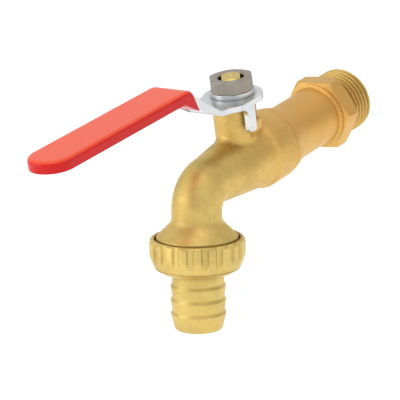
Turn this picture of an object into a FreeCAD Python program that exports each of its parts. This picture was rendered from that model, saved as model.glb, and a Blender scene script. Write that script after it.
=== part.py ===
import FreeCAD, Part
import math
import os

# Quarter-turn ball bibcock with a lever handle, a male inlet and a hose union.
# Everything is drawn about the point where the stem axis crosses the inlet axis,
# and moved at the end so that the origin is the centre of the inlet's end face.
# Millimetres, +Z up along the stem, +Y out of the inlet, towards the pipe.

V = FreeCAD.Vector

# Inlet: a half-inch parallel pipe thread, with the hexagon that a spanner grips
inlet_reach = 61.2
inlet_thread_radius = 10.4775
inlet_thread_length = 8.8
thread_relief_width = 2.0
thread_relief_radius = 9.3
thread_chamfer = 0.9
hex_across_flats = 22.0
hex_corner_radius = 12.6
hex_width = 6.6
hex_chamfer = 1.7
hex_chamfer_rise = 1.0
hex_root_round = 1.1
hex_turn = -2.0
neck_radius = 9.41
neck_blend = 5.0
shoulder_length = 8.2
shoulder_lip = 0.25
shoulder_rim = 1.6
shoulder_blend = 3.0
thread_relief_slope = 1.0
nose_wall = 1.3

# Valve body: a cone that widens to a band, which the tailpiece screws into
band_wall = 1.65
band_step = 0.95
band_length = 9.4
band_step_length = 1.6
band_edge_round = 0.7
band_corner_round = 0.5
cone_blend = 3.0
body_length_to_inlet = 16.2
nose_length = 1.7
body_seal_width = 1.9
body_seal_thickness = 0.7

# Ball and its two seat rings
ball_radius = 7.4
ball_wall = 2.8
ball_slot_width = 2.8
ball_slot_depth = 2.2
ball_clearance = 0.6
seat_side_gap = 0.1
seat_width = 3.7

# Spout: an elbow, then a straight tube that leans forward, with a union thread
spout_offset = 24.0
spout_lean = 9.385
spout_wall = 2.24
spout_bore_step = 1.0
elbow_inner_bend = 0.36
flare_start = 10.2
flare_end = 15.0
flare_radius = 12.6
union_thread_start = 16.3
union_thread_radius = 13.22
union_thread_length = 5.3

# Boss and stem
boss_radius = 6.84
boss_root_fillet = 1.9
boss_edge_round = 0.5
stem_radius = 4.44
stem_proud = 0.1
stem_thread_radius = 4.0
stem_thread_chamfer = 0.5
stem_flat_width = 5.8
stem_flat_turn = 36.0
stem_dimple_radius = 0.9
stem_collar_round = 0.3
stem_collar_radius = 5.4
stem_collar_lift = 0.1
stem_collar_height = 1.4
thrust_washer_thickness = 0.6
tang_width = 7.0
tang_root = 0.5
seal_groove_radius = 3.3
seal_groove_width = 1.5
first_seal_rise = 3.1
seal_pitch = 3.8
seal_cover = 3.3

# Stop: a lug beside the boss, with a tab that meets it at each end of the quarter turn
lug_reach = 1.66
lug_depth = 0.84
lug_overlap = 2.3
lug_height = 3.0
lug_underside = 3.4
lug_round = 0.5
lug_middle = 6.0

# Lever, pressed from sheet, with two stop tabs and edges turned down along the ramp
sheet = 1.8
lever_gap = 0.9
shank_half_width = 6.3
shank_root = 12.5
shank_round = 4.0
ramp_start = 14.9
ramp_end = 30.1
grip_rise = 11.3
bend_radius = 6.0
grip_end = 94.3
ramp_edge_drop = 1.2
ramp_edge_round = 1.0
ramp_edge_corner_round = 0.8
tab_gap = 0.76
tab_width = 3.6
tab_trailing_edge = -2.0
tab_drop = 8.1
tab_root_round = 2.8
second_tab_root_round = 0.8
tab_corner_round = 0.8
tab_bend_round = 1.5
sleeve_wall = 0.85
sleeve_start = 29.4
sleeve_mouth_lean = 5.0
sleeve_edge_round = 1.3

# Handle nut and lock washer
nut_across_flats = 13.0
nut_height = 4.2
nut_turn = 8.0
nut_chamfer = 0.55
nut_chamfer_rise = 0.33
nut_top_chamfer = 0.88
nut_bore_chamfer = 0.5
washer_radius = 6.9
washer_thickness = 1.6

# Union nut, gasket and hose tail
union_nut_radius = 14.8
union_nut_top = 15.3
union_nut_rim = 1.1
union_nut_floor = 1.3
union_nut_hole_radius = 8.95
union_nut_end_radius = 11.2
union_nut_taper = 5.4
union_nut_taper_blend = 4.0
union_nut_waist_drop = 1.2
union_nut_waist_height = 1.9
union_nut_waist_blend = 1.5
union_nut_end_round = 0.3
union_nut_lead_in = 0.35
flute_count = 20
flute_share = 0.45
flute_depth = 0.65
flute_length = 7.0
union_gasket_thickness = 1.5
union_gasket_bore_radius = 6.2
tail_flange_thickness = 1.4
tail_flange_radius = 12.8
tail_neck_radius = 8.1
tail_bore_radius = 5.5
barb_radius = 8.61
barb_count = 3
barb_pitch = 4.35
barb_step = 1.2
barb_first = 6.2
barb_lip = 0.25
barb_lip_round = 0.2
tail_tip_length = 4.9
tail_tip_taper = 1.9
tail_tip_start_radius = 7.8
tail_tip_radius = 7.4
tail_tip_round = 0.9

# Small bevel on turned corners
edge_break = 0.4

# Clearances
running_fit = 0.05
thread_fit = 0.05
ball_fit = 0.04
slot_gap = 0.15
union_gap = 0.1
stop_gap = 0.3
loose_gap = 0.2
seal_fit = 0.03
hole_fit = 0.1


def rounded_outline(corners, lift):
    """Closed wire through corners given as (a, b) or (a, b, rounding radius)."""
    plain = [(corner[0], corner[1]) for corner in corners]
    radii = [corner[2] if len(corner) > 2 else 0.0 for corner in corners]
    count = len(corners)
    starts = []
    ends = []
    middles = []
    for index in range(count):
        here = plain[index]
        before = plain[index - 1]
        after = plain[(index + 1) % count]
        if radii[index] <= 0.0:
            starts.append(here)
            ends.append(here)
            middles.append(None)
            continue
        to_before = (before[0] - here[0], before[1] - here[1])
        to_after = (after[0] - here[0], after[1] - here[1])
        length_before = math.hypot(*to_before)
        length_after = math.hypot(*to_after)
        one = (to_before[0] / length_before, to_before[1] / length_before)
        two = (to_after[0] / length_after, to_after[1] / length_after)
        turn = math.acos(max(-1.0, min(1.0, one[0] * two[0] + one[1] * two[1])))
        tangent = radii[index] / math.tan(turn / 2.0)
        middle_direction = (one[0] + two[0], one[1] + two[1])
        middle_length = math.hypot(*middle_direction)
        reach = radii[index] / math.sin(turn / 2.0) - radii[index]
        starts.append((here[0] + one[0] * tangent, here[1] + one[1] * tangent))
        ends.append((here[0] + two[0] * tangent, here[1] + two[1] * tangent))
        middles.append(
            (
                here[0] + middle_direction[0] / middle_length * reach,
                here[1] + middle_direction[1] / middle_length * reach,
            )
        )
    edges = []
    for index in range(count):
        if middles[index] is not None:
            arc = Part.Arc(lift(*starts[index]), lift(*middles[index]), lift(*ends[index]))
            edges.append(arc.toShape())
        first = lift(*ends[index])
        second = lift(*starts[(index + 1) % count])
        if (second - first).Length > 1e-6:
            edges.append(Part.LineSegment(first, second).toShape())
    return Part.Wire(edges)


def turned(corners):
    """Solid of revolution about +Z from (radius, height) corners."""
    wire = rounded_outline(corners, lambda radius, height: V(radius, 0, height))
    return Part.Face(wire).revolve(V(0, 0, 0), V(0, 0, 1), 360)


def side_slab(corners, half_width):
    """Prism across X from (y, z) corners."""
    wire = rounded_outline(corners, lambda y, z: V(-half_width, y, z))
    return Part.Face(wire).extrude(V(2 * half_width, 0, 0))


def plan_slab(corners, bottom, top):
    """Upright prism from (x, y) corners."""
    wire = rounded_outline(corners, lambda x, y: V(x, y, bottom))
    return Part.Face(wire).extrude(V(0, 0, top - bottom))


def rod(radius, bottom, top):
    return Part.makeCylinder(radius, top - bottom, V(0, 0, bottom))


def hexagon(across_flats, bottom, top, turn):
    corner_radius = across_flats / math.sqrt(3.0)
    corners = []
    for index in range(6):
        angle = math.radians(60.0 * index + turn)
        corners.append((corner_radius * math.cos(angle), corner_radius * math.sin(angle)))
    return plan_slab(corners, bottom, top)


def to_inlet(shape):
    """Turn a shape drawn along +Z so that it runs along +Y."""
    moved = shape.copy()
    moved.rotate(V(0, 0, 0), V(1, 0, 0), -90)
    return moved


def to_outlet(shape):
    """Turn a shape drawn along +Z so that it runs down the spout's axis."""
    moved = shape.copy()
    moved.rotate(V(0, 0, 0), V(1, 0, 0), 180 - spout_lean)
    moved.translate(V(0, -spout_offset, 0))
    return moved


# Places worked out from the sizes above
ball_bore_radius = ball_radius - ball_wall
chamber_radius = ball_radius + ball_clearance
seat_radius = chamber_radius - seat_side_gap
nose_radius = chamber_radius - loose_gap
inlet_bore_radius = nose_radius - nose_wall
tailpiece_thread_radius = chamber_radius + body_seal_width
band_radius = tailpiece_thread_radius + band_wall
cone_end_radius = band_radius - band_step
spout_bore_radius = ball_bore_radius + spout_bore_step
spout_radius = spout_bore_radius + spout_wall
elbow_bend_radius = spout_radius + elbow_inner_bend
elbow_turn = 90.0 - spout_lean
elbow_tangent = elbow_bend_radius * math.tan(math.radians(elbow_turn) / 2.0)
elbow_start = -spout_offset + elbow_tangent
ball_seat_end = ball_radius + loose_gap
hex_back = inlet_reach - inlet_thread_length - thread_relief_width
hex_front = hex_back - hex_width
tailpiece_thread_start = ball_seat_end + nose_length
thread_seat = tailpiece_thread_start - body_seal_thickness
stem_collar_bottom = chamber_radius + stem_collar_lift
collar_top = stem_collar_bottom + stem_collar_height
pocket_top = collar_top + thrust_washer_thickness + running_fit
first_seal_height = collar_top + first_seal_rise
second_seal_height = first_seal_height + seal_pitch
boss_top = second_seal_height + seal_cover
tab_inner_face = boss_radius + tab_gap
head_radius = tab_inner_face + sheet
lever_bottom = boss_top + lever_gap
lever_top = lever_bottom + sheet
grip_top = lever_top + grip_rise
washer_top = lever_top + washer_thickness
stem_top = washer_top + nut_height + stem_proud
tab_bottom = lever_bottom - tab_drop
lug_radius = boss_radius + lug_reach
lug_inner_radius = boss_radius - lug_depth
lug_top = tab_bottom + lug_overlap
lug_full_height = lug_top - lug_height
lug_bottom = lug_full_height - lug_underside
union_end = union_thread_start + union_thread_length
gasket_start = union_end + union_gap
flange_start = gasket_start + union_gasket_thickness
flange_end = flange_start + tail_flange_thickness
union_nut_end = flange_end + running_fit + union_nut_floor
tail_end = flange_end + barb_first + (barb_count - 1) * barb_pitch + tail_tip_length
ball_slot_floor = ball_radius - ball_slot_depth


def make_elbow(radius):
    """Bend between the horizontal run and the leaning spout."""
    circle = Part.Circle(V(0, elbow_start, 0), V(0, 1, 0), radius)
    face = Part.Face(Part.Wire(circle.toShape()))
    return face.revolve(V(0, elbow_start, -elbow_bend_radius), V(1, 0, 0), elbow_turn)


def across_lug(shape):
    """Mirror a shape in the upright plane through the middle of the stop lug."""
    angle = math.radians(lug_middle)
    return shape.mirror(V(0, 0, 0), V(-math.sin(angle), math.cos(angle), 0))


def make_stop_lug():
    """Short piece of a ring, between the planes that the two tabs' edges come to."""
    side = tab_trailing_edge + stop_gap
    ring = turned(
        [
            (lug_inner_radius, lug_bottom),
            (boss_radius - lug_round, lug_bottom),
            (lug_radius, lug_full_height),
            (lug_radius, lug_top),
            (lug_inner_radius, lug_top),
        ]
    )
    ahead = Part.makeBox(2 * lug_radius, 2 * lug_radius, lug_top, V(0, side, 0))
    lug = ring.common(ahead).common(across_lug(ahead))
    rim = []
    for edge in lug.Edges:
        centre = edge.CenterOfMass
        if centre.z > lug_top - 0.01 and math.hypot(centre.x, centre.y) > boss_radius - lug_round:
            rim.append(edge)
    return lug.makeFillet(lug_round, rim)


def runs_round_boss(edge):
    """True for an edge where the boss's side meets the body."""
    points = edge.discretize(5)
    on_side = all(abs(math.hypot(point.x, point.y) - boss_radius) < 0.01 for point in points)
    below_rim = all(0.0 < point.z < boss_top - 2 * boss_edge_round for point in points)
    upright = edge.BoundBox.XLength + edge.BoundBox.YLength < 0.01
    return on_side and below_rim and not upright


def make_valve_body():
    cone_start = body_length_to_inlet - band_length - band_step_length
    run = turned(
        [
            (0, elbow_start),
            (spout_radius, elbow_start),
            (cone_end_radius, cone_start, cone_blend),
            (band_radius, body_length_to_inlet - band_length, band_corner_round),
            (band_radius, body_length_to_inlet, band_edge_round),
            (0, body_length_to_inlet),
        ]
    )
    spout = turned(
        [
            (0, elbow_tangent),
            (spout_radius, elbow_tangent),
            (spout_radius, flare_start, cone_blend),
            (flare_radius, flare_end, edge_break),
            (flare_radius, union_thread_start - edge_break),
            (union_thread_radius, union_thread_start + edge_break / 2),
            (union_thread_radius, union_end - thread_chamfer),
            (union_thread_radius - thread_chamfer, union_end),
            (0, union_end),
        ]
    )
    boss = turned(
        [
            (0, 0),
            (boss_radius, 0),
            (boss_radius, boss_top, boss_edge_round),
            (0, boss_top),
        ]
    )
    outside = to_inlet(run).fuse([make_elbow(spout_radius), to_outlet(spout)])
    outside = outside.removeSplitter().fuse(boss)
    root = [edge for edge in outside.Edges if runs_round_boss(edge)]
    outside = outside.makeFillet(boss_root_fillet, root)

    chamber = to_inlet(rod(chamber_radius, -ball_seat_end - running_fit, thread_seat))
    thread_bore = to_inlet(
        rod(tailpiece_thread_radius + thread_fit, thread_seat, body_length_to_inlet + 1)
    )
    outlet_run = to_inlet(rod(spout_bore_radius, elbow_start, 0))
    spout_bore = to_outlet(rod(spout_bore_radius, elbow_tangent, union_end + 1))
    stem_bore = rod(stem_radius + running_fit, 0, boss_top + 1)
    collar_pocket = rod(stem_collar_radius + loose_gap, 0, pocket_top)
    inside = chamber.fuse(
        [thread_bore, outlet_run, make_elbow(spout_bore_radius), spout_bore, stem_bore, collar_pocket]
    )
    bored = outside.cut(inside).removeSplitter()
    return bored.fuse(make_stop_lug().cut(collar_pocket))


def make_inlet_tailpiece():
    nose_start = ball_seat_end
    thread_start = tailpiece_thread_start
    shoulder_radius = band_radius - shoulder_lip
    shoulder_start = body_length_to_inlet + shoulder_lip + shoulder_rim
    shoulder_end = body_length_to_inlet + shoulder_lip + shoulder_length
    inlet_thread_start = hex_back + thread_relief_width
    profile = [
        (inlet_bore_radius, nose_start),
        (nose_radius, nose_start),
        (nose_radius, thread_start),
        (tailpiece_thread_radius - edge_break, thread_start),
        (tailpiece_thread_radius, thread_start + edge_break),
        (tailpiece_thread_radius, body_length_to_inlet),
        (shoulder_radius, body_length_to_inlet),
        (shoulder_radius, shoulder_start, shoulder_blend),
        (neck_radius, shoulder_end, neck_blend),
        (neck_radius, hex_front, hex_root_round),
        (hex_corner_radius - hex_chamfer, hex_front),
        (hex_corner_radius, hex_front + hex_chamfer_rise),
        (hex_corner_radius, hex_back - hex_chamfer_rise),
        (hex_corner_radius - hex_chamfer, hex_back),
        (thread_relief_radius, hex_back, edge_break),
        (thread_relief_radius, inlet_thread_start - thread_relief_slope),
        (inlet_thread_radius, inlet_thread_start),
        (inlet_thread_radius, inlet_reach - thread_chamfer),
        (inlet_thread_radius - thread_chamfer, inlet_reach),
        (inlet_bore_radius + edge_break, inlet_reach),
        (inlet_bore_radius, inlet_reach - edge_break),
    ]
    blank = turned(profile)
    keep = hexagon(hex_across_flats, hex_front, hex_back, hex_turn)
    ahead = rod(band_radius, nose_start, hex_front)
    behind = rod(hex_corner_radius, hex_back, inlet_reach)
    return to_inlet(blank.common(keep.fuse([ahead, behind])).removeSplitter())


def make_body_seal():
    end = tailpiece_thread_start
    ring = rod(tailpiece_thread_radius - loose_gap, thread_seat, end)
    return to_inlet(ring.cut(rod(chamber_radius, thread_seat, end)))


def make_seat(side):
    """Ring with a ball-shaped face; side is 1 at the inlet and -1 at the outlet."""
    inner = ball_seat_end - seat_width
    ring = rod(seat_radius, inner, ball_seat_end).cut(rod(ball_bore_radius, inner, ball_seat_end))
    seat = to_inlet(ring).cut(Part.makeSphere(ball_radius + ball_fit))
    if side < 0:
        seat.rotate(V(0, 0, 0), V(0, 0, 1), 180)
    return seat


def make_ball():
    ball = Part.makeSphere(ball_radius)
    bore = to_inlet(rod(ball_bore_radius, -ball_radius, ball_radius))
    slot = Part.makeBox(
        2 * ball_radius,
        ball_slot_width,
        ball_slot_depth + 1,
        V(-ball_radius, -ball_slot_width / 2, ball_slot_floor),
    )
    return ball.cut([bore, slot])


def double_flat(radius, width, bottom, top):
    """Round bar with two flats, turned as the stem's are."""
    bar = rod(radius, bottom, top)
    plate = Part.makeBox(width, 2 * radius, top - bottom, V(-width / 2, -radius, bottom))
    plate.rotate(V(0, 0, 0), V(0, 0, 1), stem_flat_turn)
    return bar.common(plate)


def make_stem():
    corners = [(0, stem_collar_bottom)]
    corners += [(stem_collar_radius, stem_collar_bottom, stem_collar_round)]
    corners += [(stem_collar_radius, collar_top), (stem_radius, collar_top)]
    for height in (first_seal_height, second_seal_height):
        low = height - seal_groove_width / 2
        high = height + seal_groove_width / 2
        corners += [(stem_radius, low), (seal_groove_radius, low)]
        corners += [(seal_groove_radius, high), (stem_radius, high)]
    corners += [(stem_radius, lever_bottom), (0, lever_bottom)]
    shaft = turned(corners)
    thread = turned(
        [
            (0, lever_bottom),
            (stem_thread_radius, lever_bottom),
            (stem_thread_radius, stem_top - stem_thread_chamfer),
            (stem_thread_radius - stem_thread_chamfer, stem_top),
            (0, stem_top),
        ]
    )
    thread = thread.common(
        double_flat(stem_thread_radius + 1, stem_flat_width, lever_bottom, stem_top)
    )
    tang_thickness = ball_slot_width - 2 * slot_gap
    tang_bottom = ball_slot_floor + slot_gap
    tang_top = stem_collar_bottom + tang_root
    tang = Part.makeBox(
        tang_width,
        tang_thickness,
        tang_top - tang_bottom,
        V(-tang_width / 2, -tang_thickness / 2, tang_bottom),
    )
    tang = tang.common(rod(tang_width / 2, tang_bottom, tang_top))
    dimple_bottom = V(0, 0, stem_top - stem_dimple_radius)
    dimple = Part.makeCone(0, stem_dimple_radius, stem_dimple_radius, dimple_bottom)
    return shaft.fuse([thread, tang]).removeSplitter().cut(dimple)


def make_thrust_washer():
    top = collar_top + thrust_washer_thickness
    hole = rod(stem_radius + hole_fit, collar_top, top)
    return rod(stem_collar_radius, collar_top, top).cut(hole)


def make_stem_seal(height):
    cord_radius = (stem_radius + running_fit - seal_fit - seal_groove_radius) / 2
    return Part.makeTorus(seal_groove_radius + cord_radius, cord_radius, V(0, 0, height))


def lever_side(grow):
    """Side view of the bent lever with its turned-down edges, grown by a wall all round."""
    slope = math.atan2(grip_rise, ramp_end - ramp_start)
    lean = grow * math.tan(slope / 2.0)
    edge_end = ramp_end + sheet
    under_grip = grip_top - sheet - grow
    return [
        (head_radius + 1, lever_top + grow),
        (-ramp_start + lean, lever_top + grow, bend_radius),
        (-ramp_end + lean, grip_top + grow, bend_radius + grow),
        (-grip_end - grow, grip_top + grow),
        (-grip_end - grow, under_grip),
        (-edge_end - ramp_edge_drop, under_grip, ramp_edge_round),
        (-edge_end, under_grip - ramp_edge_drop, ramp_edge_corner_round),
        (-ramp_start, lever_bottom - grow, bend_radius),
        (head_radius + 1, lever_bottom - grow),
    ]


def lever_plan(grow, bottom, top):
    """Plan view of the head, shank and round-ended grip, as an upright prism."""
    half_width = shank_half_width + grow
    wide = head_radius + grow
    tip_centre = -grip_end + shank_half_width
    shoulder = tab_trailing_edge - tab_width - tab_root_round
    strip = plan_slab(
        [
            (wide, 0),
            (wide, shoulder, shank_round),
            (half_width, -shank_root, shank_round),
            (half_width, tip_centre),
            (-half_width, tip_centre),
            (-half_width, -shank_root, shank_round),
            (-wide, 0, shank_round),
        ],
        bottom,
        top,
    )
    tip = Part.makeCylinder(half_width, top - bottom, V(0, tip_centre, bottom))
    return strip.fuse([tip, rod(wide, bottom, top)]).removeSplitter()


def make_lever_envelope(grow):
    """Outer form of the lever's sheet, its turned-down edges filled in."""
    side = side_slab(lever_side(grow), 2 * head_radius)
    return side.common(lever_plan(grow, 0, 2 * grip_top))


def make_stop_tab(root_round):
    """Tab bent down from the head, with a rounded root at its leading edge."""
    leading_edge = tab_trailing_edge - tab_width
    outline = [
        (tab_trailing_edge, lever_top),
        (leading_edge - root_round, lever_top),
        (leading_edge - root_round, lever_bottom),
        (leading_edge, lever_bottom, root_round),
        (leading_edge, tab_bottom, tab_corner_round),
        (tab_trailing_edge, tab_bottom, tab_corner_round),
    ]
    wire = rounded_outline(outline, lambda y, z: V(tab_inner_face, y, z))
    tab = Part.Face(wire).extrude(V(sheet, 0, 0))
    bend = []
    for edge in tab.Edges:
        centre = edge.CenterOfMass
        if abs(centre.x - head_radius) < 0.01 and abs(centre.z - lever_top) < 0.01:
            bend.append(edge)
    return tab.makeFillet(tab_bend_round, bend)


def make_second_tab():
    """Tab that meets the lug's far side when the lever has made its quarter turn."""
    leading_edge = tab_trailing_edge - tab_width - second_tab_root_round
    ear = plan_slab(
        [
            (0, 0),
            (head_radius - tab_bend_round, 0),
            (head_radius - tab_bend_round, leading_edge),
            (0, leading_edge),
        ],
        lever_bottom,
        lever_top,
    )
    tab = across_lug(ear.fuse(make_stop_tab(second_tab_root_round)))
    tab.rotate(V(0, 0, 0), V(0, 0, 1), 90)
    return tab


def make_lever():
    envelope = make_lever_envelope(0.0)
    hollow_side = side_slab(
        [
            (-ramp_start - sheet, 0),
            (-ramp_start - sheet, lever_bottom + sheet * grip_rise / (ramp_end - ramp_start)),
            (-ramp_end, grip_top - sheet, bend_radius - sheet),
            (-grip_end, grip_top - sheet),
            (-grip_end, 0),
        ],
        shank_half_width - sheet,
    )
    hollow = hollow_side.common(lever_plan(-sheet, 0, grip_top))
    channel = envelope.cut(hollow)
    tab = make_stop_tab(tab_root_round)
    lever = channel.fuse([tab, make_second_tab()])
    hole = double_flat(
        stem_thread_radius + hole_fit,
        stem_flat_width + 2 * hole_fit,
        lever_bottom - 1,
        lever_top + 1,
    )
    return lever.cut(hole).removeSplitter()


def make_grip_sleeve():
    outer = make_lever_envelope(sleeve_wall)
    above = grip_top + 2 * sleeve_wall
    below = lever_bottom
    back = side_slab(
        [
            (-sleeve_start + sleeve_mouth_lean, below),
            (-sleeve_start - sleeve_wall, above),
            (-grip_end - sheet, above),
            (-grip_end - sheet, below),
        ],
        2 * head_radius,
    )
    outer = outer.common(back)
    rims = []
    for edge in outer.Edges:
        centre = edge.CenterOfMass
        on_top = centre.z > grip_top + sleeve_wall - 0.02
        along = edge.BoundBox.YLength > 2 * sleeve_edge_round
        if on_top and along:
            rims.append(edge)
    outer = outer.makeFillet(sleeve_edge_round, rims)
    return outer.cut(make_lever_envelope(0.0)).removeSplitter()


def make_lock_washer():
    ring = rod(washer_radius, lever_top, washer_top)
    return ring.cut(rod(stem_thread_radius + loose_gap, lever_top, washer_top))


def make_handle_nut():
    top = washer_top + nut_height
    corner_radius = nut_across_flats / math.sqrt(3.0)
    blank = turned(
        [
            (0, washer_top),
            (corner_radius - nut_chamfer, washer_top),
            (corner_radius, washer_top + nut_chamfer_rise),
            (corner_radius, top - nut_chamfer_rise),
            (corner_radius - nut_top_chamfer, top),
            (0, top),
        ]
    )
    nut = blank.common(hexagon(nut_across_flats, washer_top, top, nut_turn))
    bore_radius = stem_thread_radius + thread_fit
    bore = turned(
        [
            (0, washer_top),
            (bore_radius, washer_top),
            (bore_radius, top - nut_bore_chamfer),
            (bore_radius + nut_bore_chamfer, top),
            (0, top),
        ]
    )
    return nut.cut(bore)


def make_union_nut():
    bore = union_thread_radius + thread_fit
    wide_end = union_nut_end - union_nut_taper
    waist_radius = union_nut_radius - union_nut_waist_drop
    waist = union_nut_end - union_nut_waist_height
    nut = turned(
        [
            (bore + union_nut_lead_in, union_nut_top),
            (union_nut_radius, union_nut_top, union_nut_rim),
            (union_nut_radius, wide_end, union_nut_taper_blend),
            (waist_radius, waist, union_nut_waist_blend),
            (union_nut_end_radius, union_nut_end, union_nut_end_round),
            (union_nut_hole_radius, union_nut_end),
            (union_nut_hole_radius, union_nut_end - union_nut_floor),
            (bore, union_nut_end - union_nut_floor),
            (bore, union_nut_top + union_nut_lead_in),
        ]
    )
    flute_width = flute_share * 2 * math.pi * union_nut_radius / flute_count
    cutter = Part.makeBox(
        2 * flute_depth,
        flute_width,
        flute_length + 1,
        V(union_nut_radius - flute_depth, -flute_width / 2, union_nut_top - 1),
    )
    cutters = []
    for index in range(flute_count):
        flute = cutter.copy()
        flute.rotate(V(0, 0, 0), V(0, 0, 1), 360.0 * index / flute_count)
        cutters.append(flute)
    return to_outlet(nut.cut(cutters))


def make_union_gasket():
    ring = rod(tail_flange_radius, gasket_start, flange_start)
    return to_outlet(ring.cut(rod(union_gasket_bore_radius, gasket_start, flange_start)))


def make_hose_tail():
    corners = [
        (tail_bore_radius, flange_start),
        (tail_flange_radius, flange_start),
        (tail_flange_radius, flange_end),
        (tail_neck_radius, flange_end),
    ]
    for index in range(barb_count):
        crest = flange_end + barb_first + index * barb_pitch
        corners.append((tail_neck_radius, crest - barb_step))
        corners.append((barb_radius, crest - barb_lip, barb_lip_round))
    corners += [
        (tail_tip_start_radius, tail_end - tail_tip_taper),
        (tail_tip_radius, tail_end, tail_tip_round),
        (tail_bore_radius, tail_end),
    ]
    return to_outlet(turned(corners))


nodes = {
    "valve_body": make_valve_body(),
    "inlet_tailpiece": make_inlet_tailpiece(),
    "body_seal": make_body_seal(),
    "inlet_seat": make_seat(1),
    "outlet_seat": make_seat(-1),
    "ball": make_ball(),
    "stem": make_stem(),
    "stem_thrust_washer": make_thrust_washer(),
    "lower_stem_seal": make_stem_seal(first_seal_height),
    "upper_stem_seal": make_stem_seal(second_seal_height),
    "lever": make_lever(),
    "grip_sleeve": make_grip_sleeve(),
    "lock_washer": make_lock_washer(),
    "handle_nut": make_handle_nut(),
    "union_nut": make_union_nut(),
    "union_gasket": make_union_gasket(),
    "hose_tail": make_hose_tail(),
}

os.makedirs("parts", exist_ok=True)
for name, shape in nodes.items():
    shape.translate(V(0, -inlet_reach, 0))
    if len(shape.Solids) == 1:
        shape = shape.Solids[0]
    shape.exportStep(os.path.join("parts", name + ".step"))
    box = shape.BoundBox
    print(
        name,
        "solids",
        len(shape.Solids),
        "valid",
        shape.isValid(),
        "volume",
        round(shape.Volume, 1),
        "box",
        [round(value, 2) for value in (box.XMin, box.YMin, box.ZMin, box.XMax, box.YMax, box.ZMax)],
    )
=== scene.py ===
import bpy
import bmesh
import math
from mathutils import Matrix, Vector


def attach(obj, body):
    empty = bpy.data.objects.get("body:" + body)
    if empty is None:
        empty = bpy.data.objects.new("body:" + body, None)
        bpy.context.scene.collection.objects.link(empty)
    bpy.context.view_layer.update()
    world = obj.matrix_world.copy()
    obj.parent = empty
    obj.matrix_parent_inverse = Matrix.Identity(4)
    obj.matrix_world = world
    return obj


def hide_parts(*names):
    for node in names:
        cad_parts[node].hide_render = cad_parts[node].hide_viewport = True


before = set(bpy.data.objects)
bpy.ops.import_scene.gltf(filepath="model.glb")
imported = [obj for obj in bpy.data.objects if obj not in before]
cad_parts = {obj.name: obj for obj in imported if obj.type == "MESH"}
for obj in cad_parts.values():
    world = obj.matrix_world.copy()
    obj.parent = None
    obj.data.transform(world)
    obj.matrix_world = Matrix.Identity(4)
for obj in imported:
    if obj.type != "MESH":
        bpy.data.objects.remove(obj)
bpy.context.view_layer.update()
print("frame loaded:", len(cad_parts), "nodes")

mm = 0.001


# Shader maths: a wrapped socket takes part in plain expressions
class Flow:
    def __init__(self, surface, socket):
        self.surface = surface
        self.socket = socket

    def calculate(self, operation, first, second):
        return self.surface.add("ShaderNodeMath", {"operation": operation}, {0: first, 1: second})

    def __add__(self, other):
        return self.calculate("ADD", self, other)

    def __radd__(self, other):
        return self.calculate("ADD", self, other)

    def __sub__(self, other):
        return self.calculate("SUBTRACT", self, other)

    def __rsub__(self, other):
        return self.calculate("SUBTRACT", other, self)

    def __mul__(self, other):
        return self.calculate("MULTIPLY", self, other)

    def __rmul__(self, other):
        return self.calculate("MULTIPLY", self, other)

    def atMost(self, limit):
        return self.calculate("MINIMUM", self, limit)

    def step(self, low, high):
        settings = {"interpolation_type": "SMOOTHSTEP", "clamp": True}
        values = {"Value": self, "From Min": low, "From Max": high}
        return self.surface.add("ShaderNodeMapRange", settings, values, "Result")


# One material or world: add() makes every node, settings first and then the sockets
class Surface:
    def __init__(self, holder):
        holder.use_nodes = True
        self.tree = holder.node_tree
        self.tree.nodes.clear()

    def add(self, kind, settings=None, values=None, output=0):
        node = self.tree.nodes.new(kind)
        for key, setting in (settings or {}).items():
            setattr(node, key, setting)
        for key, value in (values or {}).items():
            socket = node.inputs[key]
            if isinstance(value, Flow):
                self.tree.links.new(value.socket, socket)
            else:
                socket.default_value = value
        return Flow(self, node.outputs[output]) if len(node.outputs) else node

    def place(self):
        return self.add("ShaderNodeTexCoord", None, None, "Object")

    def part(self, vector, axis):
        return self.add("ShaderNodeSeparateXYZ", None, {0: vector}, axis)

    def stretched(self, vector, scale):
        return self.add("ShaderNodeVectorMath", {"operation": "MULTIPLY"}, {0: vector, 1: scale})

    def cloud(self, vector, size, detail=2.0, rough=0.5):
        values = {"Vector": vector, "Scale": 1.0 / size, "Detail": detail, "Roughness": rough}
        return self.add("ShaderNodeTexNoise", {"noise_dimensions": "3D"}, values, "Fac")

    def blend(self, factor, first, second, mode="MIX"):
        settings = {"data_type": "RGBA", "blend_type": mode}
        return self.add("ShaderNodeMix", settings, {0: factor, 6: first, 7: second}, 2)

    def bump(self, height, strength, depth, normal=None):
        values = {"Strength": strength, "Distance": depth, "Height": height}
        if normal is not None:
            values["Normal"] = normal
        return self.add("ShaderNodeBump", None, values, "Normal")

    # How open the surface is around a point: low in grooves and where two pieces meet. The finishes paint
    # shade into their colour from it.
    def shade(self, reach):
        return self.add("ShaderNodeAmbientOcclusion", {"samples": 8}, {"Distance": reach}, "AO")

    def softEdges(self, radius):
        return self.add("ShaderNodeBevel", {"samples": 6}, {"Radius": radius}, "Normal")

    def principled(self, values):
        shader = self.add("ShaderNodeBsdfPrincipled", None, values, "BSDF")
        self.add("ShaderNodeOutputMaterial", None, {"Surface": shader})


def rgb(red, green, blue):
    return (red, green, blue, 1.0)


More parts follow.
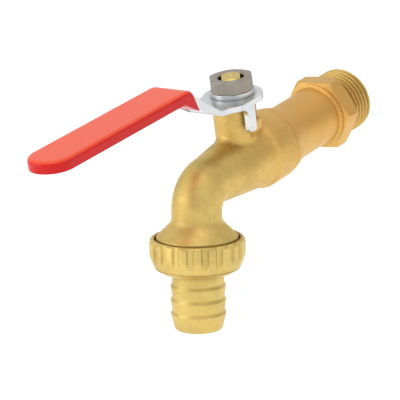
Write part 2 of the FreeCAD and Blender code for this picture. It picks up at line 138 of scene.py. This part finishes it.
# Brass: the castings are grained and patchy, the turned pieces show fine tool lines
brass = {
    "gold": rgb(0.70, 0.53, 0.165),
    "olive": rgb(0.58, 0.445, 0.145),
    "orange": rgb(0.74, 0.40, 0.105),
    # The darkest brass paints tarnish specks and also painted shade in creases and joints
    "tarnishAndShade": rgb(0.26, 0.17, 0.055),
    "bright": rgb(0.90, 0.76, 0.38),
}
brassWear = {
    "patchSpan": (0.38, 0.66), "warmStretch": (1.0, 0.8, 1.3), "warmSize": 1.7, "warmSpan": (0.30, 0.70),
    "speckSize": 0.0011, "speckSpan": (0.56, 0.80), "glintSize": 0.0009, "glintSpan": (0.58, 0.75),
    "creaseReach": 0.0030, "creaseSpan": (0.35, 0.92), "waveSize": 0.0065, "waveDepth": 0.0005,
    "patchRough": 0.16, "fineRough": 0.12, "creaseRough": 0.1, "grainStrength": 0.6, "grainDepth": 0.0001,
}


def brassFinish(name, look):
    material = bpy.data.materials.new(name)
    surface = Surface(material)
    place = surface.place()
    wear = brassWear
    patches = surface.cloud(place, look["patchSize"], 3.0, 0.55)
    colour = surface.blend(patches.step(*wear["patchSpan"]), brass["gold"], brass["olive"])
    warmPlace = surface.stretched(place, wear["warmStretch"])
    warm = surface.cloud(warmPlace, look["patchSize"] * wear["warmSize"], 2.0).step(*wear["warmSpan"])
    along = surface.part(place, "Y").step(look["warmFrom"], look["warmTo"])
    colour = surface.blend(warm * look["warmth"] + along * look["drift"], colour, brass["orange"])
    specks = surface.cloud(place, wear["speckSize"], 4.0, 0.6).step(*wear["speckSpan"])
    colour = surface.blend(specks * look["specks"], colour, brass["tarnishAndShade"])
    glints = surface.cloud(place, wear["glintSize"], 3.0, 0.7).step(*wear["glintSpan"])
    colour = surface.blend(glints * look["specks"], colour, brass["bright"])
    # Painted shade mixed with tarnish: grooves, creases and joints between pieces are darkened in the colour
    # where ambient occlusion finds them closed in
    creaseShadeAndDirt = 1.0 - surface.shade(wear["creaseReach"]).step(*wear["creaseSpan"])
    colour = surface.blend(creaseShadeAndDirt * look["creaseShadeAndDirt"], colour, brass["tarnishAndShade"])
    fine = surface.cloud(place, look["grainSize"], 3.0, 0.6)
    lines = surface.cloud(surface.stretched(place, look["lineStretch"]), 1.0, 2.0, 0.5)
    rough = look["roughness"] + (patches - 0.5) * wear["patchRough"] + (fine - 0.5) * wear["fineRough"]
    rough = rough + creaseShadeAndDirt * wear["creaseRough"]
    edges = surface.softEdges(look["edge"])
    grain = fine * look["grain"] + lines * look["lines"]
    normal = surface.bump(grain, wear["grainStrength"], wear["grainDepth"], edges)
    waves = surface.cloud(place, wear["waveSize"], 1.5)
    normal = surface.bump(waves, look["wave"], wear["waveDepth"], normal)
    surface.principled({
        "Base Color": colour,
        "Metallic": 1.0,
        "Roughness": rough,
        "Normal": normal,
    })
    return material


castBrass = brassFinish("castBrass", {
    "patchSize": 0.009, "warmth": 0.20, "warmFrom": -0.078, "warmTo": -0.052, "drift": 0.45,
    "specks": 0.38, "creaseShadeAndDirt": 0.55, "grainSize": 0.0011, "grain": 1.0,
    "lineStretch": (300.0, 300.0, 300.0), "lines": 0.0, "roughness": 0.50, "edge": 0.0005, "wave": 0.32,
})
pipeBrass = brassFinish("pipeBrass", {
    "patchSize": 0.011, "warmth": 0.35, "warmFrom": 0.004, "warmTo": -0.016, "drift": 0.60,
    "specks": 0.20, "creaseShadeAndDirt": 0.60, "grainSize": 0.0008, "grain": 0.5,
    "lineStretch": (60.0, 2600.0, 60.0), "lines": 0.7, "roughness": 0.46, "edge": 0.0003, "wave": 0.18,
})
tailBrass = brassFinish("tailBrass", {
    "patchSize": 0.010, "warmth": 0.15, "warmFrom": 0.4, "warmTo": 0.5, "drift": 0.0,
    "specks": 0.22, "creaseShadeAndDirt": 0.75, "grainSize": 0.0008, "grain": 0.6,
    "lineStretch": (60.0, 60.0, 2400.0), "lines": 0.6, "roughness": 0.44, "edge": 0.00025, "wave": 0.16,
})
nutBrass = brassFinish("nutBrass", {
    "patchSize": 0.009, "warmth": 0.15, "warmFrom": 0.4, "warmTo": 0.5, "drift": 0.0,
    "specks": 0.26, "creaseShadeAndDirt": 0.75, "grainSize": 0.0007, "grain": 0.8,
    "lineStretch": (60.0, 60.0, 1800.0), "lines": 0.3, "roughness": 0.40, "edge": 0.0003, "wave": 0.14,
})
stemBrass = brassFinish("stemBrass", {
    "patchSize": 0.004, "warmth": 0.10, "warmFrom": 0.4, "warmTo": 0.5, "drift": 0.0,
    "specks": 0.10, "creaseShadeAndDirt": 0.55, "grainSize": 0.0005, "grain": 0.5,
    "lineStretch": (500.0, 500.0, 3000.0), "lines": 0.7, "roughness": 0.40, "edge": 0.0002, "wave": 0.05,
})
print("brass finishes made")

# Zinc plating, bright on the pressed lever and dull on the nut
zinc = {
    "bright": rgb(0.74, 0.73, 0.71),
    "cool": rgb(0.66, 0.69, 0.70),
    "pink": rgb(0.72, 0.66, 0.63),
    "dull": rgb(0.34, 0.30, 0.245),
    "grey": rgb(0.40, 0.355, 0.30),
    "dark": rgb(0.20, 0.17, 0.14),
}
zincWear = {
    "tintSpan": (0.35, 0.60), "spotSize": 0.35, "spotSpan": (0.55, 0.8), "creaseReach": 0.0022,
    "creaseSpan": (0.35, 0.92), "tintRough": 0.18, "fineRough": 0.10, "waveSize": 0.004, "waveDepth": 0.0004,
    "lineStrength": 0.35, "lineDepth": 0.00004,
}


def zincFinish(name, look):
    material = bpy.data.materials.new(name)
    surface = Surface(material)
    place = surface.place()
    wear = zincWear
    tint = surface.cloud(place, look["patchSize"], 2.0)
    colour = surface.blend(tint.step(*wear["tintSpan"]), look["first"], look["second"])
    spots = surface.cloud(place, look["patchSize"] * wear["spotSize"], 4.0, 0.6).step(*wear["spotSpan"])
    colour = surface.blend(spots * look["spots"], colour, look["third"])
    fine = surface.cloud(surface.stretched(place, look["lineStretch"]), 1.0, 3.0, 0.6)
    # Painted shade mixed with dirt: creases and joints between pieces are darkened towards the darkest zinc
    # where ambient occlusion finds them closed in
    creaseShadeAndDirt = 1.0 - surface.shade(wear["creaseReach"]).step(*wear["creaseSpan"])
    colour = surface.blend(creaseShadeAndDirt * look["creaseShadeAndDirt"], colour, zinc["dark"])
    rough = look["roughness"] + (tint - 0.5) * wear["tintRough"] + (fine - 0.5) * wear["fineRough"]
    edges = surface.softEdges(look["edge"])
    waves = surface.cloud(place, wear["waveSize"], 1.0)
    normal = surface.bump(waves, look["wave"], wear["waveDepth"], edges)
    normal = surface.bump(fine, wear["lineStrength"], wear["lineDepth"], normal)
    surface.principled({
        "Base Color": colour,
        "Metallic": 1.0,
        "Roughness": rough,
        "Normal": normal,
    })
    return material


leverZinc = zincFinish("leverZinc", {
    "first": zinc["bright"], "second": zinc["cool"], "third": zinc["pink"], "patchSize": 0.006,
    "spots": 0.6, "lineStretch": (900.0, 260.0, 900.0), "roughness": 0.30, "edge": 0.0004,
    "wave": 0.30, "creaseShadeAndDirt": 0.5,
})
nutZinc = zincFinish("nutZinc", {
    "first": zinc["dull"], "second": zinc["grey"], "third": zinc["dark"], "patchSize": 0.005,
    "spots": 0.35, "lineStretch": (1100.0, 1100.0, 400.0), "roughness": 0.46, "edge": 0.0003,
    "wave": 0.10, "creaseShadeAndDirt": 0.7,
})
print("zinc finishes made")

# Dipped vinyl: glossy red skin with a faint orange-peel
vinyl = {
    # The lightest red is a painted sheen, laid on the upward-facing skin
    "red": rgb(0.70, 0.010, 0.008), "deep": rgb(0.60, 0.006, 0.006), "topSheen": rgb(0.84, 0.082, 0.022),
    "driftSize": 0.02, "driftSpan": (0.3, 0.7), "drift": 0.45, "topSpan": (0.35, 0.85),
    "peelSize": 0.0022, "peelStrength": 0.30, "peelDepth": 0.00012, "peelRough": 0.08,
    "scuffStretch": (900.0, 120.0, 900.0), "scuffSpan": (0.62, 0.85), "scuffRough": 0.14,
    "roughness": 0.24, "specular": 0.22, "coat": 0.06, "coatRoughness": 0.12,
}


def vinylFinish():
    material = bpy.data.materials.new("redVinyl")
    surface = Surface(material)
    place = surface.place()
    drift = surface.cloud(place, vinyl["driftSize"], 2.0).step(*vinyl["driftSpan"])
    colour = surface.blend(drift * vinyl["drift"], vinyl["red"], vinyl["deep"])
    facing = surface.add("ShaderNodeTexCoord", None, None, "Normal")
    # Painted sheen: skin that faces up is painted lighter and more orange, as light from above falls on it
    sheenMask = surface.part(facing, "Z").step(*vinyl["topSpan"])
    colour = surface.blend(sheenMask, colour, vinyl["topSheen"])
    peel = surface.cloud(place, vinyl["peelSize"], 2.0, 0.5)
    scuffs = surface.cloud(surface.stretched(place, vinyl["scuffStretch"]), 1.0, 3.0, 0.6)
    rough = vinyl["roughness"] + (peel - 0.5) * vinyl["peelRough"]
    rough = rough + scuffs.step(*vinyl["scuffSpan"]) * vinyl["scuffRough"]
    surface.principled({
        "Base Color": colour,
        "Roughness": rough,
        "Specular IOR Level": vinyl["specular"],
        "Coat Weight": vinyl["coat"],
        "Coat Roughness": vinyl["coatRoughness"],
        "Normal": surface.bump(peel, vinyl["peelStrength"], vinyl["peelDepth"]),
    })
    return material


plainWear = {"driftSpan": (0.3, 0.7), "grainRough": 0.1, "grainDepth": 0.00003}


def plainFinish(name, look):
    material = bpy.data.materials.new(name)
    surface = Surface(material)
    place = surface.place()
    drift = surface.cloud(place, look["patchSize"], 3.0).step(*plainWear["driftSpan"])
    colour = surface.blend(drift, look["first"], look["second"])
    grain = surface.cloud(place, look["grainSize"], 2.0)
    surface.principled({
        "Base Color": colour,
        "Metallic": look["metallic"],
        "Roughness": look["roughness"] + (grain - 0.5) * plainWear["grainRough"],
        "Normal": surface.bump(grain, look["grain"], plainWear["grainDepth"]),
    })
    return material


redVinyl = vinylFinish()
seatPlastic = plainFinish("seatPlastic", {
    "first": rgb(0.86, 0.85, 0.81), "second": rgb(0.80, 0.79, 0.74), "patchSize": 0.004,
    "grainSize": 0.0006, "grain": 0.3, "metallic": 0.0, "roughness": 0.5,
})
sealRubber = plainFinish("sealRubber", {
    "first": rgb(0.030, 0.030, 0.033), "second": rgb(0.018, 0.018, 0.020), "patchSize": 0.003,
    "grainSize": 0.0005, "grain": 0.5, "metallic": 0.0, "roughness": 0.55,
})
ballChrome = plainFinish("ballChrome", {
    "first": rgb(0.80, 0.81, 0.83), "second": rgb(0.74, 0.75, 0.78), "patchSize": 0.004,
    "grainSize": 0.0009, "grain": 0.1, "metallic": 1.0, "roughness": 0.14,
})
print("other finishes made")


# The axes that the pieces are turned about, in millimetres
lean = math.radians(9.385)
inletAxis = {
    "start": Vector((0, 0, 0)),
    "along": Vector((0, 1, 0)),
    "across": Vector((1, 0, 0)),
    "beside": Vector((0, 0, -1)),
}
spoutAxis = {
    "start": Vector((0, -85.2, 0)),
    "along": Vector((0, -math.sin(lean), -math.cos(lean))),
    "across": Vector((1, 0, 0)),
    "beside": Vector((0, -math.cos(lean), math.sin(lean))),
}


# Points along a profile whose corners may carry a rounding radius
def rounded(corners, steps=5):
    points = []
    for index, corner in enumerate(corners):
        here = Vector(corner[:2])
        radius = corner[2] if len(corner) > 2 else 0.0
        if radius <= 0 or index in (0, len(corners) - 1):
            points.append(tuple(here))
            continue
        toBefore = (Vector(corners[index - 1][:2]) - here).normalized()
        toAfter = (Vector(corners[index + 1][:2]) - here).normalized()
        turn = math.acos(max(-1.0, min(1.0, toBefore.dot(toAfter))))
        tangent = radius / math.tan(turn / 2)
        middle = here + (toBefore + toAfter).normalized() * radius / math.sin(turn / 2)
        first = here + toBefore * tangent - middle
        last = here + toAfter * tangent - middle
        sweep = first.angle_signed(last)
        for step in range(steps + 1):
            angle = -sweep * step / steps
            points.append((
                middle.x + first.x * math.cos(angle) - first.y * math.sin(angle),
                middle.y + first.x * math.sin(angle) + first.y * math.cos(angle),
            ))
    return points


# A closed skin turned about an axis; a row's radius may be a function of the angle
def turnedSkin(name, axis, rows, segments=144, turn=0.0):
    mesh = bpy.data.meshes.new(name)
    points = []
    for radius, height in rows:
        for index in range(segments):
            angle = 2 * math.pi * index / segments + turn
            reach = radius(angle) if callable(radius) else radius
            point = axis["start"] + axis["along"] * height
            point = point + (axis["across"] * math.cos(angle) + axis["beside"] * math.sin(angle)) * reach
            points.append(point * mm)
    faces = []
    count = len(rows)
    for row in range(count):
        following = (row + 1) % count
        for index in range(segments):
            beyond = (index + 1) % segments
            faces.append((
                row * segments + index,
                row * segments + beyond,
                following * segments + beyond,
                following * segments + index,
            ))
    mesh.from_pydata(points, [], faces)
    return finished(name, mesh)


def finished(name, mesh, sharp=32):
    build = bmesh.new()
    build.from_mesh(mesh)
    bmesh.ops.remove_doubles(build, verts=build.verts, dist=1e-7)
    bmesh.ops.recalc_face_normals(build, faces=build.faces)
    build.to_mesh(mesh)
    build.free()
    for polygon in mesh.polygons:
        polygon.use_smooth = True
    mesh.set_sharp_from_angle(angle=math.radians(sharp))
    piece = bpy.data.objects.new(name, mesh)
    bpy.context.scene.collection.objects.link(piece)
    return piece


def settle(piece, material, body, slotName, *nodes):
    piece.data.materials.clear()
    piece.data.materials.append(material)
    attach(piece, body)
    if nodes:
        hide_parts(*nodes)
    print("piece:", piece.name, len(piece.data.polygons), "faces")
    return piece


# Radius of a parallel pipe thread at a height and angle, held inside its end chamfers
def threadRadius(thread, height):
    def radius(angle):
        phase = (height / thread["pitch"] - angle / (2 * math.pi)) % 1.0
        flank = abs(2 * phase - 1)
        fall = max(0.0, min(1.0, (flank - thread["crest"]) / (1 - 2 * thread["crest"])))
        fall = fall * fall * (3 - 2 * fall) * thread["softness"] + fall * (1 - thread["softness"])
        cut = thread["radius"] - thread["depth"] * fall
        nearEnd = thread["radius"] - max(0.0, height - (thread["end"] - thread["chamfer"]))
        beforeStart = max(0.0, thread["start"] + thread["chamfer"] - height)
        nearStart = thread["radius"] - beforeStart * thread["startSlope"]
        return max(thread["core"], min(cut, nearEnd, nearStart))
    return radius


def threadRows(thread, steps):
    rows = []
    span = thread["end"] - thread["start"]
    count = max(2, round(span / thread["pitch"] * steps))
    for index in range(count + 1):
        height = thread["start"] + span * index / count
        rows.append((threadRadius(thread, height), height))
    return rows


# Radius of a hexagon, held inside a cone that bevels its corners
def hexRadius(across, turn, limit):
    def radius(angle):
        folded = (angle - turn) % (math.pi / 3) - math.pi / 6
        return min(across / 2 / math.cos(folded), limit)
    return radius


# Both bevels and the flats of a hexagon, from its front face to its back face
def hexagonRows(look):
    rows = []
    for step in range(look["bevelSteps"] + 1):
        share = step / look["bevelSteps"]
        limit = look["corner"] - look["bevel"] * (1 - share)
        height = look["hexFront"] + look["rise"] * share
        rows.append((hexRadius(look["across"], look["turn"], limit), height))
    for step in range(look["bevelSteps"] + 1):
        share = step / look["bevelSteps"]
        limit = look["corner"] - look["bevel"] * share
        height = look["hexBack"] - look["rise"] * (1 - share)
        rows.append((hexRadius(look["across"], look["turn"], limit), height))
    return rows


# Inlet tailpiece: shoulder, neck, hexagon, undercut and the half-inch thread
tailpiece = {
    "bore": 6.5, "mouthBevel": 0.4, "innerEnd": -53.6, "nose": 7.8, "noseEnd": -51.9, "screwed": 9.9,
    "lead": 0.4, "socketFace": -45.0, "shoulder": 11.3, "shoulderEnd": -43.15, "shoulderRound": 3.0,
    "neck": 9.41, "neckStart": -36.55, "neckRound": 5.0, "fillet": 1.1, "across": 22.0, "corner": 12.6,
    "turn": math.radians(-2.0), "hexFront": -17.4, "hexBack": -10.8, "bevel": 1.7, "rise": 1.0,
    "bevelSteps": 5, "undercut": 9.3, "undercutBevel": 0.3, "roundSteps": 7, "threadSteps": 14,
    "segments": 180,
}
inletThread = {
    "pitch": 1.814, "radius": 10.4775, "depth": 1.16, "core": 9.25, "crest": 0.13, "softness": 0.35,
    "start": -9.5, "end": 0.0, "chamfer": 0.9, "startSlope": 1.2,
}


def makeTailpiece():
    look = tailpiece
    front = [
        (look["bore"], look["innerEnd"]), (look["nose"], look["innerEnd"]), (look["nose"], look["noseEnd"]),
        (look["screwed"] - look["lead"], look["noseEnd"]), (look["screwed"], look["noseEnd"] + look["lead"]),
        (look["screwed"], look["socketFace"]), (look["shoulder"], look["socketFace"]),
        (look["shoulder"], look["shoulderEnd"], look["shoulderRound"]),
        (look["neck"], look["neckStart"], look["neckRound"]),
        (look["neck"], look["hexFront"], look["fillet"]),
        (look["corner"] - look["bevel"], look["hexFront"]),
    ]
    rows = rounded(front, look["roundSteps"])[:-1] + hexagonRows(look)
    rows.append((look["undercut"] + look["undercutBevel"], look["hexBack"]))
    rows.append((look["undercut"], look["hexBack"] + look["undercutBevel"]))
    rows.append((look["undercut"], inletThread["start"]))
    rows += threadRows(inletThread, look["threadSteps"])
    rows += [(look["bore"] + look["mouthBevel"], 0.0), (look["bore"], -look["mouthBevel"])]
    piece = turnedSkin("threadedTailpiece", inletAxis, rows, look["segments"], look["turn"])
    return settle(piece, pipeBrass, "valve", "turned_brass", "inlet_tailpiece")


makeTailpiece()

# Union nut: fluted grip, rounded rim, bored inside and open round the hose tail
unionNut = {
    "radius": 14.8, "top": 15.3, "topRound": 1.1, "shoulderAt": 20.55, "shoulderRound": 4.0,
    "waist": 13.6, "waistAt": 24.05, "waistRound": 1.5, "foot": 11.2, "end": 25.95, "footRound": 0.3,
    "bore": 13.27, "boreBevel": 0.35, "hole": 8.95, "plate": 1.3, "flutes": 20, "share": 0.45,
    "depth": 0.65, "fluteEnd": 22.3, "fluteFade": 0.3, "side": 0.32, "roundSteps": 6, "rowGap": 0.3,
    "segments": 480,
}


def fluteCut(look, angle, height):
    pitch = 2 * math.pi / look["flutes"]
    across = abs(angle % pitch - pitch / 2) * look["radius"]
    half = look["share"] * pitch * look["radius"] / 2
    inFlute = max(0.0, min(1.0, (half + look["side"] / 2 - across) / look["side"]))
    lower = max(0.0, min(1.0, (look["fluteEnd"] - height) / look["fluteFade"]))
    return look["depth"] * inFlute * lower


# A point's radius, held inside the bottom of the flute that crosses it
def flutedRadius(look, radius, height):
    def reach(angle):
        proud = radius - (look["radius"] - fluteCut(look, angle, height))
        return radius - max(0.0, proud)
    return reach


def makeUnionNut():
    look = unionNut
    outer = rounded([
        (look["bore"] + look["boreBevel"], look["top"]),
        (look["radius"], look["top"], look["topRound"]),
        (look["radius"], look["shoulderAt"], look["shoulderRound"]),
        (look["waist"], look["waistAt"], look["waistRound"]),
        (look["foot"], look["end"], look["footRound"]),
        (look["hole"], look["end"]),
    ], look["roundSteps"])
    rows = []
    for (radius, height), (nextRadius, nextHeight) in zip(outer, outer[1:]):
        parts = max(1, math.ceil(abs(nextHeight - height) / look["rowGap"]))
        for part in range(parts):
            share = part / parts
            between = radius + (nextRadius - radius) * share
            level = height + (nextHeight - height) * share
            rows.append((flutedRadius(look, between, level), level))
    plateTop = look["end"] - look["plate"]
    rows += [(look["hole"], look["end"]), (look["hole"], plateTop), (look["bore"], plateTop)]
    rows.append((look["bore"], look["top"] + look["boreBevel"]))
    piece = turnedSkin("flutedNut", spoutAxis, rows, look["segments"])
    return settle(piece, nutBrass, "nut", "turned_brass", "union_nut")


makeUnionNut()
print("turned pieces made")

# CAD nodes that keep their own shape get their finish here
nodeFinish = {
    "valve_body": castBrass, "stem": stemBrass, "hose_tail": tailBrass, "ball": ballChrome,
    "body_seal": seatPlastic, "inlet_seat": seatPlastic, "outlet_seat": seatPlastic,
    "stem_thrust_washer": seatPlastic, "lower_stem_seal": sealRubber, "upper_stem_seal": sealRubber,
    "union_gasket": sealRubber, "lever": leverZinc, "lock_washer": leverZinc, "handle_nut": nutZinc,
    "grip_sleeve": redVinyl,
}
for nodeName, material in nodeFinish.items():
    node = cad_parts[nodeName]
    node.data.materials.clear()
    node.data.materials.append(material)
print("CAD nodes finished")


# Floor, light and camera
studio = {
    "floor": -0.10, "floorSize": 6.0, "floorColour": rgb(0.93, 0.93, 0.93), "floorGlow": 0.20,
    "white": rgb(1, 1, 1), "sky": rgb(0.97, 0.98, 1.0), "shade": rgb(0.20, 0.18, 0.16), "strength": 0.88,
    "darkSide": (0.86, 0.50, 0.0), "darkSpan": (0.50, 0.97), "dark": 0.30,
    "lowSpan": (0.25, -0.35), "low": 0.30, "aim": (0.0, -0.07, 0.0),
}
lamps = {
    "leftSoftbox": {"place": (-0.55, -0.85, 0.35), "size": (0.8, 0.9), "power": 2.4},
    "topSoftbox": {"place": (0.05, -0.20, 0.95), "size": (0.6, 0.5), "power": 1.8},
    "rightSoftbox": {"place": (0.95, -0.25, 0.35), "size": (0.25, 0.7), "power": 0.2},
}


def makeFloor():
    mesh = bpy.data.meshes.new("paleFloor")
    half = studio["floorSize"] / 2
    level = studio["floor"]
    corners = [(-half, -half, level), (half, -half, level), (half, half, level), (-half, half, level)]
    mesh.from_pydata(corners, [], [(0, 1, 2, 3)])
    floor = bpy.data.objects.new("paleFloor", mesh)
    bpy.context.scene.collection.objects.link(floor)
    material = bpy.data.materials.new("palePaper")
    surface = Surface(material)
    path = surface.add("ShaderNodeLightPath", None, None, "Is Camera Ray")
    glossy = surface.add("ShaderNodeLightPath", None, None, "Is Glossy Ray")
    clear = surface.add("ShaderNodeLightPath", None, None, "Is Transmission Ray")
    seen = (path + glossy + clear).atMost(1.0)
    shadow = surface.add("ShaderNodeBsdfDiffuse", None, {"Color": studio["floorColour"]}, "BSDF")
    white = {"Color": studio["white"], "Strength": studio["floorGlow"]}
    glow = surface.add("ShaderNodeEmission", None, white, "Emission")
    both = surface.add("ShaderNodeAddShader", None, {0: shadow, 1: glow}, "Shader")
    mixed = surface.add("ShaderNodeMixShader", None, {0: seen, 1: shadow, 2: both}, "Shader")
    surface.add("ShaderNodeOutputMaterial", None, {"Surface": mixed})
    mesh.materials.append(material)


def makeSky():
    world = bpy.data.worlds.new("softStudio")
    bpy.context.scene.world = world
    surface = Surface(world)
    direction = surface.add("ShaderNodeTexCoord", None, None, "Generated")
    facing = {0: direction, 1: studio["darkSide"]}
    faces = surface.add("ShaderNodeVectorMath", {"operation": "DOT_PRODUCT"}, facing, "Value")
    darkSide = faces.step(*studio["darkSpan"])
    low = surface.part(direction, "Z").step(*studio["lowSpan"])
    colour = surface.blend(darkSide * studio["dark"], studio["sky"], studio["shade"])
    colour = surface.blend(low * studio["low"], colour, studio["shade"])
    light = {"Color": colour, "Strength": studio["strength"]}
    lit = surface.add("ShaderNodeBackground", None, light, "Background")
    paper = {"Color": studio["white"], "Strength": 1.0}
    white = surface.add("ShaderNodeBackground", None, paper, "Background")
    camera = surface.add("ShaderNodeLightPath", None, None, "Is Camera Ray")
    mixed = surface.add("ShaderNodeMixShader", None, {0: camera, 1: lit, 2: white}, "Shader")
    surface.add("ShaderNodeOutputWorld", None, {"Surface": mixed})


def makeLamp(name, look):
    lamp = bpy.data.lights.new(name, "AREA")
    lamp.shape = "RECTANGLE"
    lamp.size, lamp.size_y = look["size"]
    lamp.energy = look["power"]
    lampObject = bpy.data.objects.new(name, lamp)
    bpy.context.scene.collection.objects.link(lampObject)
    lampObject.location = look["place"]
    towards = Vector(studio["aim"]) - Vector(look["place"])
    lampObject.rotation_euler = towards.to_track_quat("-Z", "Y").to_euler()


# The camera stands where the photograph was taken from, seen from the right and above
view = {
    "place": (0.4382, -0.6498, 0.2684), "azimuth": math.radians(37.76), "elevation": math.radians(20.86),
    "roll": math.radians(-6.98), "lens": 225.0, "sensor": 36.0, "nearest": 0.01, "farthest": 20.0,
}


def makeCamera():
    azimuth = view["azimuth"]
    roll = view["roll"]
    level = math.cos(view["elevation"])
    back = Vector((math.sin(azimuth) * level, -math.cos(azimuth) * level, math.sin(view["elevation"])))
    right = Vector((math.cos(azimuth), math.sin(azimuth), 0))
    up = back.cross(right)
    tiltedRight = right * math.cos(roll) + up * math.sin(roll)
    tiltedUp = up * math.cos(roll) - right * math.sin(roll)
    camera = bpy.data.cameras.new("photoCamera")
    camera.sensor_width = view["sensor"]
    camera.lens = view["lens"]
    camera.clip_start = view["nearest"]
    camera.clip_end = view["farthest"]
    cameraObject = bpy.data.objects.new("photoCamera", camera)
    bpy.context.scene.collection.objects.link(cameraObject)
    turnMatrix = cameraObject.matrix_world.to_3x3()
    for row in range(3):
        turnMatrix[row] = (tiltedRight[row], tiltedUp[row], back[row])
    cameraObject.matrix_world = turnMatrix.to_4x4()
    cameraObject.location = view["place"]
    bpy.context.scene.camera = cameraObject


makeFloor()
makeSky()
for lampName, look in lamps.items():
    makeLamp(lampName, look)
makeCamera()
bpy.context.scene.view_settings.view_transform = "Standard"
print("studio made")
